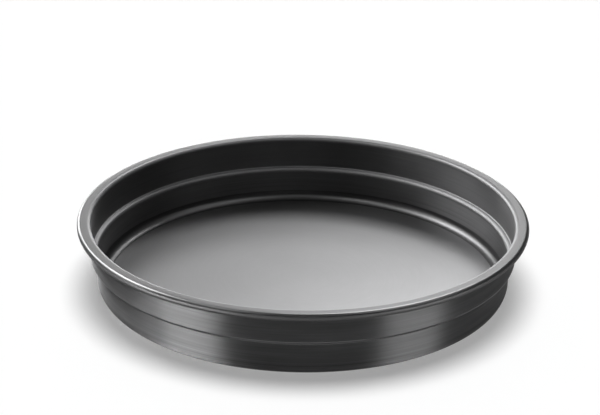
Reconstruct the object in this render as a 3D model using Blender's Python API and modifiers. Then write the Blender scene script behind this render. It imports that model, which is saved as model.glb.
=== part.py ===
"""Deep dish pizza pan, 12 inches across the top inside and 2 inches deep.

One round of aluminium sheet, drawn and spun into a pan: a flat floor, a
straight lower wall, a stacking ledge half way up, a slightly wider upper wall,
and a level rim whose edge is rolled down round a stiffening wire.

Units are metres, +Z is up. The origin is the centre of the underside, on the
surface that the pan stands on, and +Z is also the axis of the pan.
"""
import math

import bpy

# Driving dimensions of the sheet
GAUGE = 0.0013                # thickness of the sheet
HEIGHT = 0.0515               # underside of the floor to the top of the rim
TOP_INSIDE_DIAMETER = 0.3048  # inside the upper wall, the size the pan is sold by
FLOOR_FILLET = 0.0067         # inside radius between the floor and the lower wall

# Driving dimensions of the stacking ledge
LEDGE_HEIGHT = 0.0236         # underside to where the lower wall starts to bend outward
LEDGE_WIDTH = 0.0042          # how far the upper wall stands outside the lower wall
LEDGE_NOSE = 0.00325          # inside radius of the soft edge at the top of the lower wall
LEDGE_ROOT = 0.0008           # inside radius of the sharp corner at the foot of the upper wall

# Driving dimensions of the rim
FLARE_RADIUS = 0.00325        # inside radius where the upper wall turns out into the rim
RIM_FLAT = 0.00415            # width of the level band between the flare and the bead
WIRE_DIAMETER = 0.0020        # stiffening wire inside the rolled bead
WIRE_CLEARANCE = 0.0003       # all round the wire, between it and the sheet
EDGE_GAP = 0.0006             # slit between the sheet's rolled-in edge and the rim above it

# Fineness of the round shapes
SECTORS = 72                  # flats around the pan
WIRE_SIDES = 8                # flats around the wire
CHORD_ERROR = 0.0001          # how far a flat may lie inside the true bend

# Sizes that follow from the driving dimensions
LOWER_INSIDE_RADIUS = TOP_INSIDE_DIAMETER / 2 - LEDGE_WIDTH
BEAD_BORE_RADIUS = WIRE_DIAMETER / 2 + WIRE_CLEARANCE
BEAD_RADIUS = BEAD_BORE_RADIUS + GAUGE
BEAD_CENTRE_RADIUS = TOP_INSIDE_DIAMETER / 2 + FLARE_RADIUS + RIM_FLAT
BEAD_CENTRE_HEIGHT = HEIGHT - BEAD_RADIUS


def clear_objects():
    """Remove whatever the file holds, so that the pan is alone in it."""
    for thing in list(bpy.data.objects):
        bpy.data.objects.remove(thing, do_unlink=True)


def metal(name, colour, roughness, metallic):
    """A plain Principled metal."""
    material = bpy.data.materials.new(name)
    material.use_nodes = True
    shader = material.node_tree.nodes["Principled BSDF"]
    shader.inputs["Base Color"].default_value = (*colour, 1.0)
    shader.inputs["Roughness"].default_value = roughness
    shader.inputs["Metallic"].default_value = metallic
    return material


def ledge_bend():
    """Angle of each of the ledge's two bends, and the level run between them.

    A ledge narrower than its two bends together is a slope instead of a level step.
    """
    bends = (LEDGE_NOSE - GAUGE / 2) + (LEDGE_ROOT + GAUGE / 2)
    if LEDGE_WIDTH >= bends:
        return math.radians(90), LEDGE_WIDTH - bends, bends
    angle = math.acos(1 - LEDGE_WIDTH / bends)
    return angle, 0.0, bends * math.sin(angle)


def rolled_angle():
    """How far the edge is rolled round the wire, until only EDGE_GAP is left above it."""
    rise = (BEAD_BORE_RADIUS - EDGE_GAP) / BEAD_RADIUS
    return math.radians(270) + math.asin(rise)


def sheet_path():
    """The middle of the sheet from the axis to its free edge.

    Each step is a straight run followed by a bend: its angle, positive when the
    sheet turns toward the inside of the pan, and its radius to the sheet's middle.
    """
    middle = GAUGE / 2
    quarter = math.radians(90)
    ledge_angle, ledge_level, ledge_rise = ledge_bend()
    lower_wall = LEDGE_HEIGHT - GAUGE - FLOOR_FILLET
    upper_wall = HEIGHT - FLARE_RADIUS - LEDGE_HEIGHT - ledge_rise
    return [
        (LOWER_INSIDE_RADIUS - FLOOR_FILLET, quarter, FLOOR_FILLET + middle),
        (lower_wall, -ledge_angle, LEDGE_NOSE - middle),
        (ledge_level, ledge_angle, LEDGE_ROOT + middle),
        (upper_wall, -quarter, FLARE_RADIUS - middle),
        (RIM_FLAT, -rolled_angle(), BEAD_RADIUS - middle),
    ]


def sheet_face(side):
    """One face of the sheet as (radius, height) points from the axis outward.

    side is +1 for the face inside the pan and -1 for the face outside it.
    """
    x, z, heading = 0.0, GAUGE / 2, 0.0
    offset = side * GAUGE / 2
    points = [(x, z + offset)]
    for run, angle, radius in sheet_path():
        x += run * math.cos(heading)
        z += run * math.sin(heading)
        turn = math.copysign(1, angle)
        centre_x = x - turn * radius * math.sin(heading)
        centre_z = z + turn * radius * math.cos(heading)
        face_radius = radius - turn * offset
        flat_angle = 2 * math.acos(1 - CHORD_ERROR / face_radius)
        flats = max(2, math.ceil(abs(angle) / flat_angle))
        for index in range(flats + 1):
            direction = heading + angle * index / flats
            points.append((centre_x + turn * face_radius * math.sin(direction),
                           centre_z - turn * face_radius * math.cos(direction)))
        heading += angle
        x = centre_x + turn * radius * math.sin(heading)
        z = centre_z - turn * radius * math.cos(heading)
    return without_repeats(points)


def without_repeats(points):
    """The same outline with points that fall on the one before left out."""
    kept = points[:1]
    for point in points[1:]:
        if math.dist(point, kept[-1]) > CHORD_ERROR / 10:
            kept.append(point)
    return kept


def sheet_section():
    """Closed outline of the sheet: out along the inside face, back along the outside."""
    return sheet_face(+1) + sheet_face(-1)[::-1]


def turned_object(name, section, material, collection):
    """Turn an outline that starts and ends on the Z axis into a closed solid."""
    mesh = bpy.data.meshes.new(name)
    edges = [(index, index + 1) for index in range(len(section) - 1)]
    mesh.from_pydata([(x, 0.0, z) for x, z in section], edges, [])
    mesh.materials.append(material)
    turned = bpy.data.objects.new(name, mesh)
    collection.objects.link(turned)
    screw = turned.modifiers.new("turned", "SCREW")
    screw.axis = "Z"
    screw.angle = math.radians(360)
    screw.steps = SECTORS
    screw.render_steps = SECTORS
    screw.use_merge_vertices = True
    screw.merge_threshold = 0.00001
    screw.use_smooth_shade = True
    turned.modifiers.new("flat faces stay flat", "WEIGHTED_NORMAL")
    return turned


def pan_shell(collection):
    """The drawn sheet: floor, walls, stacking ledge and rolled rim in one piece."""
    anodised = metal("hard_anodised_aluminium", (0.13, 0.13, 0.135), 0.36, 0.95)
    return turned_object("pan_shell", sheet_section(), anodised, collection)


def rim_wire(collection):
    """The wire ring that the rim is rolled round."""
    bpy.ops.mesh.primitive_torus_add(
        location=(0.0, 0.0, BEAD_CENTRE_HEIGHT),
        major_radius=BEAD_CENTRE_RADIUS,
        minor_radius=WIRE_DIAMETER / 2,
        major_segments=SECTORS,
        minor_segments=WIRE_SIDES,
    )
    wire = bpy.context.object
    wire.name = "rim_wire"
    wire.data.name = "rim_wire"
    wire.data.shade_smooth()
    wire.data.materials.append(metal("bare_aluminium_wire", (0.72, 0.73, 0.74), 0.3, 1.0))
    for holder in list(wire.users_collection):
        holder.objects.unlink(wire)
    collection.objects.link(wire)
    return wire


def build_pan():
    clear_objects()
    collection = bpy.data.collections.new("deep_dish_pizza_pan")
    bpy.context.scene.collection.children.link(collection)
    pan_shell(collection)
    rim_wire(collection)


build_pan()
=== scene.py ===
import math

import bpy
from mathutils import Matrix, Vector


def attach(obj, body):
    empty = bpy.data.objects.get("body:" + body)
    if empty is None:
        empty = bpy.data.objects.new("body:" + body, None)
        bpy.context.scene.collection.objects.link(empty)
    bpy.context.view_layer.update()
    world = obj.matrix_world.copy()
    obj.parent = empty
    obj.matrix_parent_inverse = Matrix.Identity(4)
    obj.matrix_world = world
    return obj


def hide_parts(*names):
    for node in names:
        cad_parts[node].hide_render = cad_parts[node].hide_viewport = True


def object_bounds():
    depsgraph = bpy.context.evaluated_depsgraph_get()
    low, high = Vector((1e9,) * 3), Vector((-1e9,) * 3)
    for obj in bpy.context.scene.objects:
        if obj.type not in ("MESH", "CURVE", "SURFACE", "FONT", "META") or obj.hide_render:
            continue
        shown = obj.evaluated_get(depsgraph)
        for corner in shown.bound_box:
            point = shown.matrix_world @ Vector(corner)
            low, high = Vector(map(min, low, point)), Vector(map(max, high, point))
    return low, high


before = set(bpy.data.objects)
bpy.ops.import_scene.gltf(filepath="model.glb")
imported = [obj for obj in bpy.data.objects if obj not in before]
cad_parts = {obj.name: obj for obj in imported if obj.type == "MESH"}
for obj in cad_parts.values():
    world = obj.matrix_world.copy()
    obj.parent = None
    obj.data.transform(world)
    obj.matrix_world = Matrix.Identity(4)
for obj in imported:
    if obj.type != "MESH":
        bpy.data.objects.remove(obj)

CAD_BOX = [list(corner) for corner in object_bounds()]

# Sizes of the drawn sheet in metres, as in the CAD source
GAUGE = 0.0013
HEIGHT = 0.0515
TOP_INSIDE_DIAMETER = 0.3048
FLOOR_FILLET = 0.0067
LEDGE_HEIGHT = 0.0236
LEDGE_WIDTH = 0.0042
LEDGE_NOSE = 0.00325
LEDGE_ROOT = 0.0008
FLARE_RADIUS = 0.00325
RIM_FLAT = 0.00415
WIRE_DIAMETER = 0.0020
WIRE_CLEARANCE = 0.0003
EDGE_GAP = 0.0006

# Sizes that follow from them
LOWER_INSIDE_RADIUS = TOP_INSIDE_DIAMETER / 2 - LEDGE_WIDTH
BEAD_BORE_RADIUS = WIRE_DIAMETER / 2 + WIRE_CLEARANCE
BEAD_RADIUS = BEAD_BORE_RADIUS + GAUGE
RIM_RADIUS = TOP_INSIDE_DIAMETER / 2 + FLARE_RADIUS + RIM_FLAT + BEAD_RADIUS

# Fineness of the visible mesh
SECTORS = 288                # faces around the pan
BEND_STEP = math.radians(6)  # most that a bend turns from face to face
LONGEST_RUN = 0.006          # longest face of a straight run
SAME_POINT = 0.00001         # points closer than this are one

# Finish of each straight run, of the first part of the bend after it and of the bend's rest. Each
# names a zone with its own roughness and its own tone, and that tone is painted light and shade
INSIDE_FINISHES_AND_PAINTED_LIGHT = [
    ("floor", "fillet", "fillet"),
    ("inner_walls", "ledge", "ledge_top"),
    ("ledge_top", "ledge_top", "ledge_top"),
    ("inner_walls", "ledge", "rim"),
    ("rim", "bead_top", "bead_side"),
]
OUTSIDE_FINISHES_AND_PAINTED_LIGHT = [
    ("underside", "underside", "outer_walls"),
    ("outer_walls", "fillet", "fillet"),
    ("fillet", "fillet", "fillet"),
    ("outer_walls", "outer_walls", "outer_walls"),
    ("outer_walls", "bead_side", "bead_side"),
]
CUT_EDGE_FINISH_AND_PAINTED_LIGHT = "bead_side"

# How far a bend has turned where its first part ends. Only the bead turns more than half round
FIRST_PART = math.radians(50)
FIRST_PART_OF_BEAD = math.radians(62)
HALF_TURN = math.radians(180)

# Tone, roughness, depth and contrast of the turned lines, and anisotropy of each finish. The sheet
# is one anodised metal, so its tone set apart zone by zone is painted light and shade: painted
# highlight where it is lighter, as on the floor, inner walls and ledge, and painted shade where it
# is darker, as on the fillet, rim and bead's side
LOOKS_WITH_PAINTED_LIGHT = {
    "floor": (0.205, 0.38, 0.3, 0.02, 0.0),
    "fillet": (0.086, 0.38, 0.3, 0.04, 0.0),
    "ledge": (0.154, 0.53, 0.3, 0.04, 0.0),
    "ledge_top": (0.255, 0.66, 0.3, 0.04, 0.0),
    "inner_walls": (0.138, 0.36, 0.6, 0.08, 0.86),
    "rim": (0.086, 0.42, 0.3, 0.04, 0.0),
    "bead_top": (0.100, 0.30, 0.3, 0.04, 0.0),
    "bead_side": (0.064, 0.56, 0.3, 0.04, 0.0),
    "outer_walls": (0.100, 0.53, 1.0, 0.12, 1.0),
    "underside": (0.110, 0.45, 0.3, 0.04, 0.0),
}
FINISHES_AND_PAINTED_LIGHT = list(LOOKS_WITH_PAINTED_LIGHT)

# Height, half width and strength of the single rings that can be told apart on the walls
RINGS = {
    "inner_walls": [
        (0.0120, 0.0009, -0.14),
        (0.0155, 0.0007, -0.12),
        (0.0185, 0.0006, 0.10),
        (0.0370, 0.0008, -0.06),
    ],
    "outer_walls": [
        (0.0052, 0.0012, 0.26),
        (0.0078, 0.0006, -0.26),
        (0.0098, 0.0008, 0.16),
        (0.0125, 0.0005, -0.12),
        (0.0335, 0.0007, 0.08),
        (0.0405, 0.0006, -0.10),
    ],
}

# Noise that makes the rings uneven: fineness round the pan and across the rings, detail, roughness
RING_NOISE = (2.6, 90, 2.0, 0.5)
RING_RANGE = (0.35, 0.6)   # of this noise, from the faintest to the full strength
FAINTEST_RING = 0.25       # share of a ring's strength that is left where it is faintest

# Turned lines: fineness round the pan and across the lines, detail, roughness, share of the whole
TURNED_LINES = [
    (1.4, 2600, 2.0, 0.60, 0.35),
    (2.0, 1100, 2.0, 0.50, 0.30),
    (3.0, 420, 3.0, 0.55, 0.35),
]
LINE_RANGE = (0.35, 0.65)  # of their noise, from dark to light
LINE_ROUGHNESS = 0.3       # change of roughness by the lines, as a share of their contrast

# Grain and clouds: scale, detail and roughness of each noise
GRAIN = (2200, 2.0, 0.6)
CLOUDS = (14, 3.0, 0.55)
WIRE_GRAIN = (900, 3.0, 0.6)
NOISE_RANGE = (0.3, 0.7)   # of such noise, from dark to light
MOTTLE = 0.03              # change of tone by the grain, and as much by the clouds
GRAIN_ROUGHNESS = 0.02     # change of roughness by the grain
GRAIN_DEPTH = 0.15         # share of the grain in the relief

# Other looks of the sheet
COOL = 1.012               # its blue beside its red and green
EDGE_TINT = 0.6            # brightness of the metal where it is seen edge-on
SHEET_RELIEF = (0.12, 0.0001)    # strength and height
ACROSS_THE_LINES = 0.25    # the way in which the walls' gloss is spread, as a share of a turn

# Looks of the bare wire
WIRE_COLOUR = (0.72, 0.73, 0.74)
WIRE_BRIGHTNESS = (0.92, 1.04)
WIRE_ROUGHNESS = (0.25, 0.38)
WIRE_RELIEF = (0.1, 0.00005)

# Stage floor
FLOOR_HALF = 4.0
FLOOR_DROP = 0.0001        # below the pan's underside, so that the two faces stay apart
FLOOR_COLOUR = (0.95, 0.95, 0.95, 1)
FLOOR_GLOW = 0.32          # share of plain white in the floor, seen straight or in a reflection

# Surroundings: their level behind the pan, and the Y of the directions where they start to
# brighten and have reached it
PALE_LEVEL = 0.25
PALE_RANGE = (-0.3, 0.6)

# Overhead light
OVERHEAD_LEVEL = 0.97      # what it gives the floor, where 1 is white
OVERHEAD_LEAN = math.radians(6.5)
OVERHEAD_SPREAD = math.radians(34)
OVERHEAD_PLACE = (0, 0.3, 1.5)

# Soft boxes: azimuth from the camera's side by the right, elevation, distance, width, height, level
SOFT_BOXES = {
    "left_low": (307, 0, 0.7, 0.36, 0.048, 97.0),
    "left_low_wide": (286, 0, 0.7, 0.20, 0.048, 22.0),
    "right_low": (52, 0, 0.7, 0.36, 0.048, 46.0),
    "back_low": (180, 6, 1.5, 0.95, 0.31, 19.0),
    "left_back": (213, 10, 1.5, 0.50, 0.42, 18.0),
    "left_side": (294, 6, 1.5, 0.78, 0.31, 2.2),
    "left_ledge": (221, 31, 1.5, 0.60, 0.37, 12.5),
    "left_mid": (257, 31, 1.5, 0.90, 0.37, 4.6),
    "back_mid": (178, 31, 1.5, 0.90, 0.37, 1.6),
    "left_high": (233, 46, 1.5, 0.73, 0.42, 17.5),
    "right_high": (80, 46, 1.5, 0.50, 0.42, 1.8),
    "back_box": (165, 46, 1.5, 0.55, 0.42, 17.5),
    "right_top": (60, 63, 1.5, 0.36, 0.47, 2.9),
    "back_top": (135, 63, 1.5, 0.72, 0.47, 1.6),
    "front_top": (5, 54, 1.5, 0.60, 0.30, 1.3),
    "left_top": (300, 63, 1.5, 0.36, 0.47, 5.0),
    "left_back_top": (240, 63, 1.5, 0.36, 0.47, 2.0),
}
SOFT_BOX_AIM = Vector((0, 0, 0.03))

# Camera: where it stands, how it is turned from a look at the pan's origin, and its lens
CAMERA_DISTANCE = 8.0 * RIM_RADIUS
CAMERA_ELEVATION = math.radians(25.594)
CAMERA_YAW = math.radians(-0.106)
CAMERA_PITCH = math.radians(2.29)
CAMERA_ROLL = math.radians(0.686)
SENSOR_WIDTH = 36          # in millimetres
PICTURE_WIDTH = 600        # in pixels
FOCAL_PIXELS = 1770        # focal length in pixels of that picture


def bends():
    """Each straight run of the sheet, the bend after it (+ toward the inside) and its radius."""
    middle = GAUGE / 2
    quarter = math.radians(90)
    rise = (LEDGE_NOSE - middle) + (LEDGE_ROOT + middle)
    rolled = math.radians(270) + math.asin((BEAD_BORE_RADIUS - EDGE_GAP) / BEAD_RADIUS)
    return [
        (LOWER_INSIDE_RADIUS - FLOOR_FILLET, quarter, FLOOR_FILLET + middle),
        (LEDGE_HEIGHT - GAUGE - FLOOR_FILLET, -quarter, LEDGE_NOSE - middle),
        (LEDGE_WIDTH - rise, quarter, LEDGE_ROOT + middle),
        (HEIGHT - FLARE_RADIUS - LEDGE_HEIGHT - rise, -quarter, FLARE_RADIUS - middle),
        (RIM_FLAT, -rolled, BEAD_RADIUS - middle),
    ]


def run_points(x, z, heading, run, offset, finish_and_painted_light):
    """Points within a straight run of the sheet, on the side at this offset from its middle."""
    pieces = max(1, math.ceil(run / LONGEST_RUN))
    points = []
    for index in range(1, pieces):
        along = run * index / pieces
        points.append((x + along * math.cos(heading) - offset * math.sin(heading),
                       z + along * math.sin(heading) + offset * math.cos(heading), finish_and_painted_light))
    return points


def finish_and_painted_light_in_bend(finishes_and_painted_light, turned, whole):
    """Finish, with its painted tone, of the face that ends where a bend has turned this far of its
    whole angle.
    """
    on_run, on_first_part, on_rest = finishes_and_painted_light
    if turned == 0:
        return on_run
    first_part = FIRST_PART_OF_BEAD if whole > HALF_TURN else FIRST_PART
    return on_first_part if turned <= first_part else on_rest


def bend_points(centre_x, centre_z, heading, angle, radius, finishes_and_painted_light):
    """Points of a bend about its centre, from its start to its end."""
    turn = math.copysign(1, angle)
    flats = max(2, math.ceil(abs(angle) / BEND_STEP))
    points = []
    for index in range(flats + 1):
        direction = heading + angle * index / flats
        finish_and_painted_light = finish_and_painted_light_in_bend(finishes_and_painted_light, abs(angle) * index / flats, abs(angle))
        points.append((centre_x + turn * radius * math.sin(direction),
                       centre_z - turn * radius * math.cos(direction), finish_and_painted_light))
    return points


def without_repeats(points):
    """The same points without those that fall on the one before."""
    kept = points[:1]
    for point in points[1:]:
        if math.dist(point[:2], kept[-1][:2]) > SAME_POINT:
            kept.append(point)
    return kept


def sheet_side(side, zones):
    """One side of the sheet from the axis out, +1 for the inside of the pan, -1 for the outside.

    Each point is its radius, its height and the finish, with its painted tone, of the face that
    leads to it.
    """
    x, z, heading = 0.0, GAUGE / 2, 0.0
    offset = side * GAUGE / 2
    points = [(x, z + offset, zones[0][0])]
    for (run, angle, radius), finishes_and_painted_light in zip(bends(), zones):
        points += run_points(x, z, heading, run, offset, finishes_and_painted_light[0])
        x += run * math.cos(heading)
        z += run * math.sin(heading)
        turn = math.copysign(1, angle)
        centre_x = x - turn * radius * math.sin(heading)
        centre_z = z + turn * radius * math.cos(heading)
        points += bend_points(centre_x, centre_z, heading, angle, radius - turn * offset, finishes_and_painted_light)
        heading += angle
        x = centre_x + turn * radius * math.sin(heading)
        z = centre_z - turn * radius * math.cos(heading)
    return without_repeats(points)


def sheet_section():
    """Outline of the sheet, out along the inside and back along the outside of the pan.

    Gives its (radius, height) points, kept inside the CAD box, and the finish and painted tone
    between them.
    """
    inside = sheet_side(+1, INSIDE_FINISHES_AND_PAINTED_LIGHT)
    outside = sheet_side(-1, OUTSIDE_FINISHES_AND_PAINTED_LIGHT)
    fit = CAD_BOX[1][0] / RIM_RADIUS
    section = [(radius * fit, height) for radius, height, _ in inside + outside[::-1]]
    finishes_and_painted_light = [finish_and_painted_light for _, _, finish_and_painted_light in inside[1:]]
    finishes_and_painted_light.append(CUT_EDGE_FINISH_AND_PAINTED_LIGHT)
    finishes_and_painted_light += [finish_and_painted_light for _, _, finish_and_painted_light in outside[:0:-1]]
    return section, finishes_and_painted_light


def distances_along(section):
    """Distance of each point of the outline from the first one, along the outline."""
    distances = [0.0]
    for here, there in zip(section, section[1:]):
        distances.append(distances[-1] + math.dist(here, there))
    return distances


def turned_points(section):
    """Vertices of the turned outline, and for each of its points the vertices round the pan."""
    vertices, rings = [], []
    for radius, height in section:
        first = len(vertices)
        if radius < SAME_POINT:
            rings.append([first] * SECTORS)
            vertices.append((0.0, 0.0, height))
            continue
        rings.append(list(range(first, first + SECTORS)))
        for sector in range(SECTORS):
            angle = 2 * math.pi * sector / SECTORS
            vertices.append((radius * math.cos(angle), radius * math.sin(angle), height))
    return vertices, rings


def band_of_faces(rings, lower):
    """Faces between a ring and the next, each corner as its vertex, its sector and its ring."""
    upper = lower + 1
    low, high = rings[lower], rings[upper]
    faces = []
    for sector in range(SECTORS):
        after = (sector + 1) % SECTORS
        corners = [(high[sector], sector, upper), (high[after], sector + 1, upper),
                   (low[after], sector + 1, lower), (low[sector], sector, lower)]
        if low[sector] == low[after]:
            corners.pop()
        if high[sector] == high[after]:
            corners.pop(0)
        faces.append(corners)
    return faces


def turned_pan():
    """The sheet turned about +Z as one closed mesh, with a finish and a painted tone for each face.
    """
    section, finishes_and_painted_light = sheet_section()
    distances = distances_along(section)
    vertices, rings = turned_points(section)
    faces, zones, map_places = [], [], []
    for lower, finish_and_painted_light in enumerate(finishes_and_painted_light):
        for corners in band_of_faces(rings, lower):
            faces.append([vertex for vertex, _, _ in corners])
            zones.append(FINISHES_AND_PAINTED_LIGHT.index(finish_and_painted_light))
            for _, sector, number in corners:
                map_places += [sector / SECTORS, distances[number] / distances[-1]]
    along = [0.0] * len(vertices)
    for ring, distance in zip(rings, distances):
        for vertex in ring:
            along[vertex] = distance
    mesh = bpy.data.meshes.new("pan_body")
    mesh.from_pydata(vertices, [], faces)
    mesh.attributes.new("run", "FLOAT", "POINT").data.foreach_set("value", along)
    mesh.uv_layers.new(name="OFBake").data.foreach_set("uv", map_places)
    mesh.polygons.foreach_set("material_index", zones)
    mesh.shade_smooth()
    mesh.update()
    turned = bpy.data.objects.new("pan_body", mesh)
    bpy.context.scene.collection.objects.link(turned)
    return turned


class Nodes:
    """Short names for making a node tree."""

    def __init__(self, tree):
        self.tree = tree

    def add(self, kind, **settings):
        node = self.tree.nodes.new(kind)
        for name, value in settings.items():
            setattr(node, name, value)
        return node

    def link(self, start, end):
        self.tree.links.new(start, end)

    def feed(self, socket, given):
        """Link another socket to this one, or set this one to a number."""
        if isinstance(given, bpy.types.NodeSocket):
            self.link(given, socket)
        else:
            socket.default_value = given

    def math(self, operation, *given, clamp=False):
        node = self.add("ShaderNodeMath", operation=operation, use_clamp=clamp)
        for socket, value in zip(node.inputs, given):
            self.feed(socket, value)
        return node.outputs[0]

    def map_range(self, given, span, to_low, to_high, **settings):
        """What is given, with its span stretched between another low and high."""
        node = self.add("ShaderNodeMapRange", **settings)
        self.link(given, node.inputs["Value"])
        node.inputs["From Min"].default_value = span[0]
        node.inputs["From Max"].default_value = span[1]
        node.inputs["To Min"].default_value = to_low
        node.inputs["To Max"].default_value = to_high
        return node.outputs["Result"]

    def noise(self, vector, scale, detail, roughness):
        node = self.add("ShaderNodeTexNoise")
        self.link(vector, node.inputs["Vector"])
        node.inputs["Scale"].default_value = scale
        node.inputs["Detail"].default_value = detail
        node.inputs["Roughness"].default_value = roughness
        return node.outputs["Fac"]

    def place(self):
        """Place on the object, in metres."""
        return self.add("ShaderNodeTexCoord").outputs["Object"]

    def split(self, vector):
        node = self.add("ShaderNodeSeparateXYZ")
        self.link(vector, node.inputs[0])
        return node.outputs

    def scaled(self, colour, factor):
        node = self.add("ShaderNodeVectorMath", operation="SCALE")
        node.inputs[0].default_value = colour
        self.link(factor, node.inputs["Scale"])
        return node.outputs[0]

    def relief(self, height, strength, distance):
        node = self.add("ShaderNodeBump")
        node.inputs["Strength"].default_value = strength
        node.inputs["Distance"].default_value = distance
        self.link(height, node.inputs["Height"])
        return node.outputs["Normal"]


def new_material(name):
    """A material, its Principled shader and the maker of its nodes."""
    material = bpy.data.materials.new(name)
    material.use_nodes = True
    return material, material.node_tree.nodes["Principled BSDF"], Nodes(material.node_tree)


def turned_noise(nodes, around, across, detail, roughness):
    """Noise drawn out round the pan: slow round it, fast across the lines that this makes."""
    flat = nodes.add("ShaderNodeVectorMath", operation="MULTIPLY")
    nodes.link(nodes.place(), flat.inputs[0])
    flat.inputs[1].default_value = (1, 1, 0)
    unit = nodes.add("ShaderNodeVectorMath", operation="NORMALIZE")
    nodes.link(flat.outputs[0], unit.inputs[0])
    direction = nodes.split(unit.outputs[0])
    run = nodes.add("ShaderNodeAttribute", attribute_name="run").outputs["Fac"]
    join = nodes.add("ShaderNodeCombineXYZ")
    nodes.link(nodes.math("MULTIPLY", direction[0], around), join.inputs[0])
    nodes.link(nodes.math("MULTIPLY", direction[1], around), join.inputs[1])
    nodes.link(nodes.math("MULTIPLY", run, across), join.inputs[2])
    return nodes.noise(join.outputs[0], 1.0, detail, roughness)


def turned_lines(nodes):
    """Lines left by turning and polishing: hair-fine, fine and broad ones together."""
    total = 0.0
    for around, across, detail, roughness, share in TURNED_LINES:
        lines = turned_noise(nodes, around, across, detail, roughness)
        total = nodes.math("ADD", total, nodes.math("MULTIPLY", lines, share))
    return total


def ring_marks(nodes, rings):
    """Single darker and lighter rings, uneven around the pan."""
    height_here = nodes.split(nodes.place())[2]
    presence = nodes.map_range(turned_noise(nodes, *RING_NOISE), RING_RANGE, FAINTEST_RING, 1.0)
    total = 0.0
    for height, half_width, strength in rings:
        away = nodes.math("ABSOLUTE", nodes.math("SUBTRACT", height_here, height))
        peak = nodes.math("SUBTRACT", 1.0, nodes.math("DIVIDE", away, half_width), clamp=True)
        total = nodes.math("ADD", total, nodes.math("MULTIPLY", peak, strength))
    return nodes.math("MULTIPLY", total, presence)


def spread_across_lines(nodes, shader, anisotropy):
    """Spread the gloss of a wall up and down, across the lines that run round it."""
    shader.inputs["Anisotropic"].default_value = anisotropy
    shader.inputs["Anisotropic Rotation"].default_value = ACROSS_THE_LINES
    tangent = nodes.add("ShaderNodeTangent", direction_type="RADIAL", axis="Z")
    nodes.link(tangent.outputs[0], shader.inputs["Tangent"])


def anodised(finish_and_painted_light):
    """Hard-anodised sheet: grain, turned lines, slow changes of tone, rings where it has any, and a
    tone set zone by zone that is painted light and shade.
    """
    tone, roughness, line_depth, line_contrast, anisotropy = LOOKS_WITH_PAINTED_LIGHT[finish_and_painted_light]
    material, shader, nodes = new_material("anodised_" + finish_and_painted_light)
    shader.inputs["Metallic"].default_value = 1.0
    shader.inputs["Specular Tint"].default_value = (EDGE_TINT, EDGE_TINT, EDGE_TINT, 1)
    place = nodes.place()
    lines = turned_lines(nodes)
    grain = nodes.noise(place, *GRAIN)
    clouds = nodes.noise(place, *CLOUDS)
    change = nodes.math("ADD", nodes.map_range(lines, LINE_RANGE, -line_contrast, line_contrast),
                        nodes.map_range(clouds, NOISE_RANGE, -MOTTLE, MOTTLE))
    change = nodes.math("ADD", change, nodes.map_range(grain, NOISE_RANGE, -MOTTLE, MOTTLE))
    if finish_and_painted_light in RINGS:
        change = nodes.math("ADD", change, ring_marks(nodes, RINGS[finish_and_painted_light]))
    level = nodes.math("ADD", change, 1.0)
    # The zone's tone, lighter or darker than the rest of the one sheet, is painted light and shade
    nodes.link(nodes.scaled((tone, tone, tone * COOL), level), shader.inputs["Base Color"])
    share = line_contrast * LINE_ROUGHNESS
    rough = nodes.math("ADD",
                       nodes.map_range(lines, LINE_RANGE, roughness + share, roughness - share),
                       nodes.map_range(grain, NOISE_RANGE, -GRAIN_ROUGHNESS, GRAIN_ROUGHNESS))
    nodes.link(rough, shader.inputs["Roughness"])
    height = nodes.math("ADD", nodes.math("MULTIPLY", lines, line_depth),
                        nodes.math("MULTIPLY", grain, GRAIN_DEPTH))
    nodes.link(nodes.relief(height, *SHEET_RELIEF), shader.inputs["Normal"])
    if anisotropy:
        spread_across_lines(nodes, shader, anisotropy)
    return material


def drawn_wire():
    """Bare aluminium wire, with a fine grain in its tone, roughness and relief."""
    material, shader, nodes = new_material("drawn_wire")
    shader.inputs["Metallic"].default_value = 1.0
    grain = nodes.noise(nodes.place(), *WIRE_GRAIN)
    level = nodes.map_range(grain, NOISE_RANGE, *WIRE_BRIGHTNESS)
    nodes.link(nodes.scaled(WIRE_COLOUR, level), shader.inputs["Base Color"])
    rough = nodes.map_range(grain, NOISE_RANGE, *WIRE_ROUGHNESS)
    nodes.link(rough, shader.inputs["Roughness"])
    nodes.link(nodes.relief(grain, *WIRE_RELIEF), shader.inputs["Normal"])
    return material


def white_floor():
    """Diffuse white with a share of plain white in it, both to the eye and in reflections."""
    material, shader, nodes = new_material("white_floor")
    nodes.tree.nodes.remove(shader)
    diffuse = nodes.add("ShaderNodeBsdfDiffuse")
    diffuse.inputs["Color"].default_value = FLOOR_COLOUR
    glow = nodes.add("ShaderNodeEmission")
    rays = nodes.add("ShaderNodeLightPath").outputs
    reflected = nodes.math("MAXIMUM", rays["Is Glossy Ray"], rays["Is Transmission Ray"])
    seen = nodes.math("MAXIMUM", rays["Is Camera Ray"], reflected)
    mix = nodes.add("ShaderNodeMixShader")
    nodes.link(nodes.math("MULTIPLY", seen, FLOOR_GLOW), mix.inputs[0])
    nodes.link(diffuse.outputs[0], mix.inputs[1])
    nodes.link(glow.outputs[0], mix.inputs[2])
    nodes.link(mix.outputs[0], nodes.tree.nodes["Material Output"].inputs["Surface"])
    return material


def stage_floor():
    """Plain white floor that still takes the pan's shadow."""
    corners = [(-FLOOR_HALF, -FLOOR_HALF, 0), (FLOOR_HALF, -FLOOR_HALF, 0),
               (FLOOR_HALF, FLOOR_HALF, 0), (-FLOOR_HALF, FLOOR_HALF, 0)]
    mesh = bpy.data.meshes.new("floor")
    mesh.from_pydata(corners, [], [(0, 1, 2, 3)])
    mesh.materials.append(white_floor())
    floor = bpy.data.objects.new("floor", mesh)
    floor.location.z = -FLOOR_DROP
    bpy.context.scene.collection.objects.link(floor)


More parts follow.
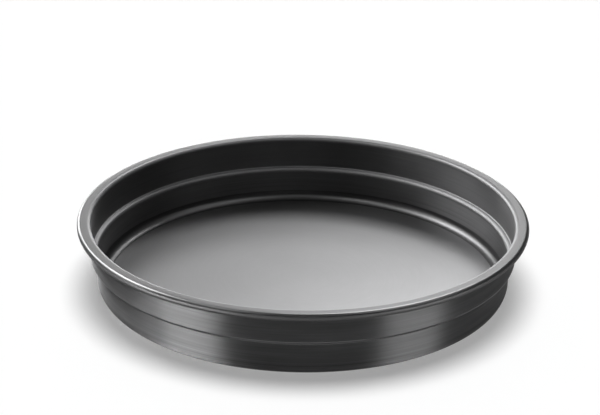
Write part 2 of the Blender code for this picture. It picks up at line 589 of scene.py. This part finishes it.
def soft_box(name, azimuth, elevation, distance, width, height, level):
    """A soft box aimed at the pan that shows only in glossy reflections.

    Its angles are in degrees, and level is its own brightness, where 1 is white.
    """
    around, raised = math.radians(azimuth), math.radians(elevation)
    toward = Vector((math.sin(around) * math.cos(raised),
                     -math.cos(around) * math.cos(raised),
                     math.sin(raised)))
    light = bpy.data.lights.new(name, "AREA")
    light.shape = "RECTANGLE"
    light.size = width
    light.size_y = height
    light.energy = level * width * height * math.pi
    lamp = bpy.data.objects.new(name, light)
    lamp.location = SOFT_BOX_AIM + toward * distance
    lamp.visible_camera = False
    lamp.visible_diffuse = False
    lamp.rotation_mode = "QUATERNION"
    lamp.rotation_quaternion = toward.to_track_quat("Z", "Y")
    bpy.context.scene.collection.objects.link(lamp)


def overhead_light():
    """A wide light from above, leaning to the back, that lights the floor but no gloss."""
    light = bpy.data.lights.new("overhead", "SUN")
    light.angle = OVERHEAD_SPREAD
    light.energy = OVERHEAD_LEVEL * math.pi
    lamp = bpy.data.objects.new("overhead", light)
    lamp.location = OVERHEAD_PLACE
    lamp.visible_glossy = False
    lamp.rotation_euler = (-OVERHEAD_LEAN, 0, 0)
    bpy.context.scene.collection.objects.link(lamp)


def surroundings():
    """A pale studio behind the pan that falls off to a dark room on the camera's side."""
    world = bpy.data.worlds.new("studio")
    world.use_nodes = True
    bpy.context.scene.world = world
    nodes = Nodes(world.node_tree)
    background = world.node_tree.nodes["Background"]
    background.inputs["Color"].default_value = (1, 1, 1, 1)
    direction = nodes.split(nodes.add("ShaderNodeTexCoord").outputs["Generated"])
    strength = nodes.map_range(direction[1], PALE_RANGE, 0.0, PALE_LEVEL,
                               interpolation_type="SMOOTHSTEP")
    nodes.link(strength, background.inputs["Strength"])


def photo_camera():
    """The camera where the photograph was taken from."""
    sine, cosine = math.sin(CAMERA_ELEVATION), math.cos(CAMERA_ELEVATION)
    place = Vector((0, -CAMERA_DISTANCE * cosine, CAMERA_DISTANCE * sine))
    ahead = Vector((0, cosine, -sine))
    right = Vector((1, 0, 0))
    up = right.cross(ahead)
    ahead = (ahead * math.cos(CAMERA_YAW) * math.cos(CAMERA_PITCH)
             + right * math.sin(CAMERA_YAW) * math.cos(CAMERA_PITCH)
             + up * math.sin(CAMERA_PITCH))
    right = ahead.cross(up).normalized()
    up = right.cross(ahead)
    right, up = (right * math.cos(CAMERA_ROLL) + up * math.sin(CAMERA_ROLL),
                 up * math.cos(CAMERA_ROLL) - right * math.sin(CAMERA_ROLL))
    data = bpy.data.cameras.new("camera")
    data.sensor_width = SENSOR_WIDTH
    data.lens = SENSOR_WIDTH * FOCAL_PIXELS / PICTURE_WIDTH
    camera = bpy.data.objects.new("camera", data)
    directions = Matrix((right, up, -ahead)).transposed().to_4x4()
    camera.matrix_world = Matrix.Translation(place) @ directions
    bpy.context.scene.collection.objects.link(camera)
    bpy.context.scene.camera = camera


pan = turned_pan()
for finish_and_painted_light_name in FINISHES_AND_PAINTED_LIGHT:
    pan.data.materials.append(anodised(finish_and_painted_light_name))
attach(pan, "root")
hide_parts("pan_shell")

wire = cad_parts["rim_wire"]
wire.material_slots[0].material = drawn_wire()

photo_camera()
stage_floor()
surroundings()
overhead_light()
for box_name, box_values in SOFT_BOXES.items():
    soft_box(box_name, *box_values)
bpy.context.scene.view_settings.view_transform = "Standard"
